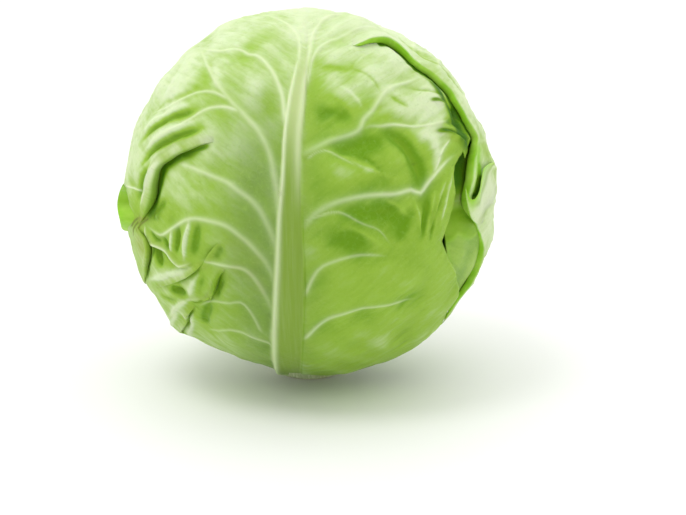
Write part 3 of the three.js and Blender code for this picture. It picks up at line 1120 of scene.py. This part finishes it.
front_veins = Veins()
for vein in traced_rows(FRONT_VEINS, 2.5):
    front_veins.add(*vein)
front_forms = traced_rows(FRONT_FORMS, 1.5)
flap_forms = traced_rows(FLAP_FORMS, 1.5)
front_shades = traced_rows(FRONT_SHADES, 1.0)
pinch_paths = [front.traced(pixels, 1.0) for pixels in PINCH_LINES]
pocket, pocket_floor, pocket_lip = map(front.from_pixels, (POCKET, POCKET_FLOOR, POCKET_LIP))


def grown_flap_veins():
    """Side veins that run on over the flap to the leaf's margin, with short forks."""
    rng = np.random.default_rng(31)
    veins = Veins()
    for share in np.linspace(0.14, 0.92, 9):
        start = flap.path[int(share * (len(flap.path) - 1))]
        bearing = FLAP_BEARINGS[0] * (1 - share) + FLAP_BEARINGS[1] * share
        run = polar(bearing, front.margin(bearing)) - start
        aside = np.array([run[1], -run[0]])
        middle = start + 0.5 * run + rng.uniform(-0.14, 0.14) * aside
        path = curve_through([start, middle, start + run], 2.5)
        veins.add(path, 3.0, 1.6, 0.7, (0.5, 0.9))
        for part, turn in ((0.4, 0.34), (0.6, -0.3)):
            fork = path[int(part * (len(path) - 1))]
            tip = fork + 0.32 * run + turn * rng.uniform(0.6, 1.0) * aside
            bend = 0.5 * (fork + tip) + 0.2 * turn * aside
            veins.add(curve_through([fork, bend, tip], 2.5), 1.9, 1.3, 0.45, (0.6, 0.5))
    return veins


flap_veins = grown_flap_veins()


def around(pixel, flat, width):
    """1 at a pixel of the photograph, and less around it."""
    return bell(np.linalg.norm(flat - front.from_pixels([pixel])[0], axis=-1), width)


def front_pale_and_lit(flat, place, on_flap):
    """The front leaf's paleness, partly painted light: crown, upper sides, flap outside,
    patches.
    """
    x, y = flat[..., 0], flat[..., 1]
    # Painted light: the crown and the upper left and right are paler.
    crown = smooth(y, 25, 85) * (0.5 + 0.4 * bell(x - 14, 26))
    upper_left = 0.4 * smooth(-x, 25, 75) * smooth(y, -20, 30)
    upper_right = 0.88 * bell(x - 46, 32) * smooth(y, 22, 56)
    pale = np.maximum(np.maximum(crown, upper_left), upper_right)
    if on_flap:
        # Outside on the flap it is paler, partly painted light.
        outside = smooth(depth_in_flap(flat), 0.0, 16.0)
        return np.maximum(pale, outside * (0.72 + 0.18 * waves(place, 24, 60, 77)))
    for pixel, change, width in PALE_AND_LIT_PLACES:
        pale = pale + change * around(pixel, flat, width)
    return pale


def front_browning(flat, vein, pinched):
    """How brown the front leaf is: at one edge, where it is pinched, and on some veins."""
    scar = np.maximum(0.22 * around(SCARRED_PIXEL, flat, 9.0), 0.35 * pinched)
    for pixel in BROWNED_VEINS:
        scar = np.maximum(scar, 0.17 * around(pixel, flat, 5.0) * (0.3 + 0.7 * vein))
    return scar


def front_relief(flat, left_out=None, on_flap=False):
    """The front leaf's height and colour fields, on its blade or on the flap over it.

    left_out is a fold that is not to be added, for that fold's own sheet.
    """
    place = front.directions(flat) * HEAD_RADIUS
    fields = blank_fields(flat)
    ridge, vein, swelling = front_veins.relief(flat)
    if on_flap:
        flap_ridge, flap_vein, _ = flap_veins.relief(flat)
        ridge = np.maximum(ridge, flap_ridge)
        vein = np.maximum(vein, flap_vein)
    rib_height, rib, strand, line, up = front_rib.relief(flat)
    blade = 1 - rib
    ripples = 0.36 * waves(place, 14, 34, 4)
    grain = wrinkles(flat, place, 6)
    # Painted shade along the midrib's edge groove.
    painted_shade = 0.35 * line
    forms = np.zeros_like(ridge)
    if on_flap:
        for path, rise, width in flap_forms:
            distance, along, _ = nearest_on(path, flat, 3 * width)
            forms += rise * bell(distance, width) * smooth(along, 0, 0.2)
        height = rib_height + blade * (ridge + 1.3 * swelling + ripples) + forms
        in_pocket = beside(pocket, flat, 2.6)
        height -= 1.6 * in_pocket
        lip = beside(pocket_lip, flat, 3.2)
        # The pocket and its lip are bright green, partly painted backlight, and the pocket's
        # floor has painted shade.
        fields["green_and_backlit"] = np.maximum(smooth(in_pocket, 0.2, 0.6), lip)
        painted_shade = np.maximum(painted_shade, 0.95 * beside(pocket_floor, flat, 1.4))
    else:
        for path, rise, width in front_forms:
            distance, along, _ = nearest_on(path, flat, 3 * width)
            profile = 0.6 * bell(distance, width) + 0.4 * bell(distance, 0.5 * width)
            forms += rise * inner_part(along, 0.36) * profile
        height = rib_height + blade * (ridge + 1.3 * swelling + forms + ripples)
        dive, gap = flap.dive(flat, depth_in_flap(flat))
        height += dive
        # Painted shade in the gap under the flap's edge.
        painted_shade = np.maximum(painted_shade, 0.9 * gap)
        # Painted shade in the listed creases and pits.
        for path, width, strength in front_shades:
            distance, along, _ = nearest_on(path, flat, 4 * width)
            shade = strength * inner_part(along, 0.24) * bell(distance, width)
            painted_shade = np.maximum(painted_shade, shade)
    height += (0.8 - 0.6 * rib) * waves(place, 45, 110, 3) - 1.0
    height += (0.07 - 0.05 * rib) * waves(place, 5, 11, 5) + 0.16 * blade * grain
    for pixel, depth, width in FRONT_DIPS:
        height -= depth * around(pixel, flat, width)
    # Each fold's step, and the painted shade in its hollow.
    for fold in folds:
        if fold is not left_out:
            step, shade = fold.relief(flat)
            height += step
            painted_shade = np.maximum(painted_shade, 0.8 * shade)
    # Painted shade in the hollows of the forms.
    painted_shade = np.maximum(painted_shade, 0.5 * smooth(-forms, 0.7, 2.6))
    pinched = np.max([beside(path, flat, 0.8) for path in pinch_paths], axis=0)

    x, y = flat[..., 0], flat[..., 1]
    # Painted light and shade that follow the relief, ridges and swellings paler and hollows
    # darker, and painted shade on the right half, away from the light.
    tone = 0.9 * forms + 0.25 * ripples + 0.3 * swelling + 0.10 * grain
    fields["crest"] = np.clip(tone - 0.32 * smooth(x, -4, 6), -1, 1)
    fields["vein"] = np.maximum(vein * blade, strand * (0.72 + 0.2 * smooth(up, 0.5, 0.8)))
    fields["rib"] = rib
    fields["rib_olive"] = 1 - smooth(up, 0.64, 0.84)
    fields["pale"] = front_pale_and_lit(flat, place, on_flap)
    fields["bloom"] = 0.85 * bell(x + 19, 21) * (1 - smooth(y, 0, 70)) * blade
    fields["scar"] = front_browning(flat, vein, pinched)
    # Painted shade in the pinched creases, which are also brown.
    fields["painted_shade"] = np.maximum(painted_shade, 0.7 * pinched)
    return height, fields


# ---- build the front leaf ----

# Where its blade ends beside the right lobe: bearing and reach in degrees. Further round
# than LOBE_SIDE its margin is the CAD leaf's, but for the notch.
LOBE_SIDE = 80.0
BELOW_LOBE = [(-62, 86), (-45, 83), (-36, 77), (-30, 65), (-25, 54)]
ABOVE_LOBE = [(24, 74), (50, 78), (66, 86)]
# The margin's notch where the left leaf's tip comes out: bearing, depth and width in degrees.
NOTCH_BEARING = -176.5
NOTCH_DEPTH = 11.0
NOTCH_WIDTH = 7.5


def front_outline(bearing):
    """How far the blade's margin is from the leaf's middle, at bearings in radians."""
    lobe = front.from_pixels(LOBE_MARGIN)
    lobe = np.degrees([np.arctan2(lobe[:, 1], lobe[:, 0]), np.hypot(*lobe.T) / HEAD_RADIUS]).T
    lobe = lobe[np.argsort(lobe[:, 0])]
    turns, reaches = np.vstack([BELOW_LOBE, lobe, ABOVE_LOBE]).T
    first, last = front.margin(np.radians([-LOBE_SIDE, LOBE_SIDE]))
    knots = [-LOBE_SIDE, *turns, LOBE_SIDE]
    here = np.degrees(bearing)
    by_lobe = np.interp(here, knots, [first, *arc(reaches), last])
    around_notch = (here - NOTCH_BEARING + 180) % 360 - 180
    elsewhere = front.margin(bearing) - arc(NOTCH_DEPTH) * bell(around_notch, NOTCH_WIDTH)
    return np.where(np.abs(here) < LOBE_SIDE, by_lobe, elsewhere)


def front_blade(flat, edge):
    height, fields = front_relief(flat)
    return height - 1.2 * (1 - smooth(edge, 0.0, 5.0)), fields


def flap_relief(flat):
    return front_relief(flat, on_flap=True)


def flap_sheet():
    """The flap from its free edge to the leaf's margin on the far side of the head."""
    bearings = np.linspace(*FLAP_BEARINGS, flap.rows)
    return flap.sheet(flap_relief, polar(bearings, front.margin(bearings)))


PETAL_COLUMNS = 17


def petal_sheet():
    """The petal, across from its free edge to its seated edge."""
    free = curve_through(PETAL_FREE, 0.6)
    count = (len(free) - 1) // COARSE_STEP * COARSE_STEP + 1
    share = np.linspace(0, 1, count)
    edges = []
    for points in (free, curve_through(PETAL_SEATED, 0.6)):
        shares = shares_along(points[:, :2])
        edges.append(np.stack([np.interp(share, shares, column) for column in points.T], -1))
    across = np.linspace(0, 1, PETAL_COLUMNS) * np.ones((count, 1))
    points = edges[0][:, None] * (1 - across)[..., None] + edges[1][:, None] * across[..., None]
    lift = points[..., 2]
    flat = front.from_pixels(points.reshape(-1, 3), lift.ravel()).reshape(*lift.shape, 2)
    ground, fields = flap_relief(flat)
    share = share[:, None]
    bulge = np.sin(np.pi * across) * np.sin(np.pi * share)
    lower = smooth(share, 0.55, 0.85)
    # Bright green, partly painted backlight, towards the free edge and the lower end; painted
    # shade a little in from the free edge; and painted light on the bulge.
    fields["green_and_backlit"] = 0.75 * (1 - smooth(across, 0.0, 0.5 + 0.5 * lower)) + 0.25 * lower
    fields["painted_shade"] = 0.3 * bell(across - 0.3, 0.12) * (1 - lower)
    fields["crest"] += 0.3 * bulge
    height = np.maximum(ground, -1.0) * smooth(-lift, -3.0, -1.0) + lift - 0.8 * bulge
    return closed_sheet(front.places(flat, height), 0.5, fields)


outer_material = leaf_material("front_leaf_surface", 0.0, 0.85)
side_material = leaf_material("side_leaf_surface", 0.08, 0.6)
inner_material = leaf_material("inner_leaf_surface", 0.35, 0.3, cream=0.25)

halves = []
for side in (-1, 1):
    grid = disc_grid(*FRONT_GRID, side)
    halves.append(blade_sheet(front, front_outline, front_blade, grid))
fold_sheets = [fold.sheet(lambda flat: front_relief(flat, fold)) for fold in folds]
for name, sheets in (
    ("left_half", halves[:1]),
    ("right_half", halves[1:]),
    ("flap", [flap_sheet(), petal_sheet()]),
    ("folds", fold_sheets),
):
    make_piece(f"front_leaf_{name}", sheets, outer_material, "front_leaf")


# ---- the other wrapper leaves ----

# On the leaf below the flap: where it sinks under the gap, with painted shade, and where it
# is bright green, partly painted backlight.
GAP_LINE = [(470, 128), (466, 160), (462, 190), (460, 204)]
BRIGHT_GREEN_PATCH = [(450, 236), (462, 222), (476, 226)]

# The midrib: place on the leaf's map, half its width and its height in mm.
WRAPPER_RIB = [
    (0, -148, 9.0, 2.2), (1, -100, 7.4, 2.0), (-1, -50, 5.6, 1.7), (1, 0, 4.4, 1.3),
    (0, 50, 3.2, 0.9), (1, 84, 2.2, 0.5), (0, 112, 1.4, 0.2),
]
wrapper_rib = Midrib(WRAPPER_RIB)


def inside_margin(flat, margin):
    """How far places on a leaf's map are inside its margin, in mm."""
    return margin(np.arctan2(flat[..., 1], flat[..., 0])) - np.hypot(flat[..., 0], flat[..., 1])


def surfaces_above(leaf, directions):
    """For each surface over a leaf: its height above the head, and how far inside its margin."""
    over = front.flat(directions)
    found = [(front_relief(over)[0], inside_margin(over, front_outline))]
    if leaf.order < 3:
        inside = np.minimum(inside_margin(over, front.margin), depth_in_flap(over))
        inside = np.minimum(inside, flap.at(over, FAR_AROUND)[0])
        found.append((flap_relief(over)[0], inside))
    if leaf.order == 2:
        second = LeafMap(1)
        over = second.flat(directions)
        inside = inside_margin(over, second.margin)
        found.append((wrapper_relief(second, over, inside)[0] - LAYER_PITCH, inside))
    return found


def wrapper_relief(leaf, flat, edge):
    """A wrapper leaf's height and colour fields; edge is the distance to its margin."""
    order = leaf.order
    directions = leaf.directions(flat)
    place = directions * HEAD_RADIUS
    fields = blank_fields(flat)
    ridge, vein, swelling = grown_veins(100 + order).relief(flat)
    rib_height, rib, strand, _, up = wrapper_rib.relief(flat)
    forms = 0.30 * waves(place, 16, 40, 50 + order)
    height = (ridge + 1.4 * swelling + forms) * (1 - rib) + rib_height
    height += 0.6 * waves(place, 40, 90, 30 + order) - 0.9
    at_margin = 1 - smooth(edge, 0.0, 13.0)
    height += at_margin * (0.5 * waves(place, 16, 34, 70 + order) - 1.1)
    if order > 2:
        height = 0.3 * height - 0.8
    if order == 1:
        gap = leaf.traced(GAP_LINE, 2.0)
        upper_gap = gap[: len(gap) * 2 // 3]
        height = np.maximum(height - 3.6 * beside(gap, flat, 11.0), -4.0)
        # The bright green patch, partly painted backlight, with a little painted shade on it.
        from_patch = nearest_on(leaf.traced(BRIGHT_GREEN_PATCH, 2.0), flat, 60.0)[0]
        fields["green_and_backlit"] = 0.95 * (1 - smooth(from_patch, 6.0, 12.0))
        # Painted shade in the gap under the flap and on the green patch, and along the lobe
        # margin.
        painted_shade = np.maximum(beside(upper_gap, flat, 11.0), 0.4 * fields["green_and_backlit"])
        lobe = 0.7 * beside(leaf.traced(LOBE_MARGIN, 2.0), flat, 1.8)
        fields["painted_shade"] = np.maximum(painted_shade, lobe)
    else:
        # Painted shade below the lower end of the lobe margin.
        from_lobe = nearest_on(leaf.traced(LOBE_MARGIN[:4], 2.0), flat, 60.0)[0]
        fields["painted_shade"] = 0.95 * (1 - smooth(from_lobe, 14.0, 22.0))
    for above, covered in surfaces_above(leaf, directions):
        free = 8.0 * (1 - smooth(covered, -2.5, 0.8))
        height = np.minimum(height, above + order * LAYER_PITCH - 1.7 + free)
    # Painted light and shade that follow the relief.
    fields["crest"] = np.clip(0.5 * forms - 0.45 * swelling + 0.1, -1, 1)
    fields["vein"] = np.maximum(vein * (1 - rib), 0.8 * strand)
    fields["rib"] = rib
    fields["rib_olive"] = 0.6 * (1 - smooth(up, 0.3, 0.6))
    fields["bloom"] = 0.5 * bell(flat[..., 0], 40) * (1 - smooth(flat[..., 1], 10, 90))
    # Painted top light: paler towards the top of the head.
    fields["pale"] = 0.45 * smooth(place[..., 2], 20, 80)
    # Bright green margins, partly painted backlight.
    fields["green_and_backlit"] = np.maximum(fields["green_and_backlit"], 0.4 * (1 - smooth(edge, 0.4, 3.0)))
    return height, fields


for order, name in enumerate(WRAPPER_NAMES[1:], 1):
    exposed = order < 3
    leaf = LeafMap(order)
    size = EXPOSED_GRID if exposed else COVERED_GRID
    relief = functools.partial(wrapper_relief, leaf)
    sheet = blade_sheet(leaf, leaf.margin, relief, disc_grid(size, size))
    material = side_material if exposed else inner_material
    make_piece(f"{name}_blade", [sheet], material, name)


# The tip of the left leaf, which comes out at the front leaf's notch: pixels of its free
# edge, with how far they stand off the head in mm.
TIP_EDGE = [
    (123, 184, -1.0), (119.5, 193, 3.4), (117.5, 203, 5.2), (118, 212, 5.8), (120, 221, 4.8),
    (122, 231, 1.0),
]
# How far the tip goes on under the front leaf, and how far out its edge is moved, in mm.
TIP_ROOT = 15.0
TIP_OUTWARD = 1.5


def tip_sheet(leaf):
    """The tip, from its free edge to where it has sunk under the front leaf."""
    edge = curve_through(TIP_EDGE, 1.0)
    edge = edge[: (len(edge) - 1) // COARSE_STEP * COARSE_STEP + 1]
    tip = leaf.from_pixels(edge, edge[:, 2])
    share = np.linspace(0, 1, 13)
    flat = tip[:, None, :] + np.stack([TIP_ROOT * share - TIP_OUTWARD, 0 * share], -1)
    stand = edge[:, 2:]
    height = stand + leaf.order * LAYER_PITCH - (stand + 3.0) * smooth(share, -0.08, 0.6)
    fields = blank_fields(flat)
    down = np.linspace(0, 1, len(edge))[:, None]
    # Bright green, partly painted backlight, with painted shade towards its upper end.
    fields["green_and_backlit"] += 1.0
    fields["painted_shade"] += 0.35 * (1 - smooth(down, 0.35, 0.7))
    return closed_sheet(leaf.places(flat, height), BLADE_THICKNESS, fields)


make_piece("left_leaf_tip", [tip_sheet(LeafMap(2))], side_material, "left_leaf")


# ---- the stem and the heart ----

# Radius and height of the stem's outline: the cut face, the stump and the core.
STEM_OUTLINE = [
    (15.8, 0.0), (16.9, 0.5), (17.6, 1.6), (18.1, 4.0), (18.6, 8.0), (19.1, 12.0), (18.4, 20.0),
    (17.4, 30.0), (13.0, 56.0), (6.0, 76.0), (0.5, 80.0),
]
# Scars where lower leaves were cut from the stem: bearing in radians and height.
STEM_SCARS = ((0.7, 5.0), (2.9, 7.5), (5.1, 4.5))
# The darker ring in the cut face.
RING_RADIUS = 13.2
HEART_RADIUS = HEAD_RADIUS - LAYER_PITCH * len(WRAPPER_NAMES)
# The radius of the opening in the heart's underside, where the core comes in.
HEART_HOLE = 18.6
# Radius and height of the heart's hollow for the core, from its top down.
CORE_WALL = [(0.6, 81.2), (6.8, 77.2), (14.0, 56.8), (17.6, 36.0)]


def turned(outline, count, relief):
    """A closed shape turned about the upright axis; relief displaces it outward.

    outline is radii and heights from the lower end to the upper end.
    """
    angle = np.arange(count) / count * 2 * math.pi
    radius, height = np.asarray(outline, float).T[..., None]
    radius = radius + relief(angle, height)
    places = [radius * np.cos(angle), radius * np.sin(angle), height + 0 * radius]
    ends = [(0, 0, height[0, 0]), (0, 0, height[-1, 0])]
    vertices = np.vstack([np.stack(places, -1).reshape(-1, 3), ends])
    index = np.arange(radius.size).reshape(radius.shape)
    next_index = np.roll(index, -1, axis=1)
    sides = np.stack([index[:-1], next_index[:-1], next_index[1:], index[1:]], -1)
    low = np.full(count, radius.size)
    bottom = np.stack([low, next_index[0], index[0]], -1)
    top = np.stack([low + 1, index[-1], next_index[-1]], -1)
    return vertices, [sides.reshape(-1, 4), np.vstack([bottom, top])], {"sheet": vertices * MM}


def stem_relief(angle, height):
    """Low ribs and the scars where lower leaves were cut away."""
    relief = 0.18 * np.sin(5 * angle + 0.06 * height) + 0.10 * np.sin(13 * angle + 1.1)
    for bearing, level in STEM_SCARS:
        aside = np.angle(np.exp(1j * (angle - bearing)))
        relief = relief + 0.5 * bell(aside, 0.42) * bell(height - level, 1.6)
    return relief * smooth(height, 0.0, 2.0) * (1 - smooth(height, 14.0, 22.0))


def stem_material():
    n = Nodes(bpy.data.materials.new("stem_surface"))
    place = n.place()
    level = n.vector("MULTIPLY", {0: place, 1: (1.0, 1.0, 0.0)})
    wobble = n.product(n.noise(place, 240.0, 3.0), 0.0012)
    radius = n.sum(n.vector("LENGTH", {0: level}, "Value"), wobble)
    ring = n.math("ABSOLUTE", n.math("SUBTRACT", radius, RING_RADIUS * MM))
    ring = n.span(ring, 0.0002, 0.0011, 1.0, 0.0)
    fibres = n.node("Mapping", {"Vector": place, "Scale": (1.0, 1.0, 0.08)})
    streak = n.noise(fibres, 900.0, 3.0, 0.6)
    mottle = n.noise(place, 160.0, 4.0, 0.6)
    skin = n.mix(n.span(streak, 0.35, 0.7), STEM_SKIN, STEM_SKIN_PALE)
    skin = n.mix(n.span(mottle, 0.55, 0.75, 0.0, 0.35), skin, STEM_BROWN)
    face = n.mix(n.span(mottle, 0.35, 0.7), STEM_CUT, STEM_CUT_DARK)
    face = n.mix(n.product(ring, 0.6), face, STEM_RING)
    cut = n.span(n.node("SeparateXYZ", {0: place}, "Z"), 0.0001, 0.0009, 1.0, 0.0)
    return n.surface(n.sum(streak, mottle), Base_Color=n.mix(cut, skin, face), Roughness=0.6,
                     Subsurface_Weight=0.15, Subsurface_Radius=(1.0, 1.0, 0.6),
                     Subsurface_Scale=SUBSURFACE_SCALE)


def heart_outline():
    """Down the wall round the core, then up the outside to the top."""
    lowest = math.asin(HEART_HOLE / HEART_RADIUS)
    tilt = np.linspace(lowest, math.pi - 0.01, 65)
    height = -HEART_RADIUS * np.cos(tilt)
    height = np.where(height < 0, height * UNDERSIDE_FLATTENING, height) + CENTRE_HEIGHT
    return np.vstack([CORE_WALL, np.stack([HEART_RADIUS * np.sin(tilt), height], -1)])


def heart_relief(angle, height):
    """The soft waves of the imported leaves, on the outside only."""
    outside = np.arange(len(height))[:, None] >= len(CORE_WALL)
    middle = np.sin(math.pi * np.clip((height - 32) / 126, 0, 1)) * outside
    return (0.5 * np.sin(7 * angle + 0.05 * height) - 0.8) * middle


stem = turned(curve_through(STEM_OUTLINE, 1.0), 120, stem_relief)
make_piece("stem_cut", [stem], stem_material(), "stem")
heart = turned(heart_outline(), 112, heart_relief)
make_piece("heart_leaves", [heart], inner_material, "heart")


# ---- stage, light and camera ----

# Brightness of the surroundings: behind the camera, behind the head, overhead, and from the
# horizon down.
FRONT_LIGHT = 0.02
BACK_LIGHT = 1.25
ZENITH_LIGHT = 1.35
HORIZON_LIGHT = 1.0
# The one lamp: place, target and width in metres, and power in watts.
LAMP_PLACE = (-0.45, -0.35, 1.30)
LAMP_TARGET = (0.0, 0.0, 0.1)
LAMP_WIDTH = 0.5
LAMP_POWER = 3.5

scene = bpy.context.scene
bpy.ops.mesh.primitive_plane_add(size=12.0, location=(0, 0, 0))
floor = bpy.context.object
floor.name = "floor"
floor_nodes = Nodes(bpy.data.materials.new("floor_white"))
floor.data.materials.append(floor_nodes.surface(Base_Color=(0.90, 0.90, 0.89), Roughness=0.6))

scene.world = bpy.data.worlds.new("studio")
studio = Nodes(scene.world)
sky = studio.node("TexCoord", {}, "Generated")
level, up = (studio.node("SeparateXYZ", {0: sky}, axis) for axis in ("Y", "Z"))
dome = studio.span(level, -0.9, 0.3, FRONT_LIGHT, BACK_LIGHT, "LINEAR")
dome = studio.span(up, 0.0, 1.0, dome, ZENITH_LIGHT, "LINEAR")
dome = studio.span(up, 0.11, 0.22, HORIZON_LIGHT, dome, "LINEAR")
studio.feed(studio.tree.nodes["Background"], {"Color": (1.0, 1.0, 1.0), "Strength": dome})

lamp = bpy.data.lights.new("key", "AREA")
lamp.shape = "DISK"
lamp.size = LAMP_WIDTH
lamp.energy = LAMP_POWER
key = bpy.data.objects.new("key", lamp)
key.location = LAMP_PLACE
toward = mathutils.Vector(LAMP_TARGET) - key.location
key.rotation_euler = toward.to_track_quat("-Z", "Y").to_euler()

camera_data = bpy.data.cameras.new("camera")
camera_data.lens = LENS
camera_data.sensor_width = SENSOR
camera = bpy.data.objects.new("camera", camera_data)
camera.location = CAMERA_PLACE * MM
camera.rotation_euler = (math.radians(90 - CAMERA_PITCH), 0, 0)
for made in (key, camera):
    scene.collection.objects.link(made)
scene.camera = camera
scene.view_settings.view_transform = "Standard"
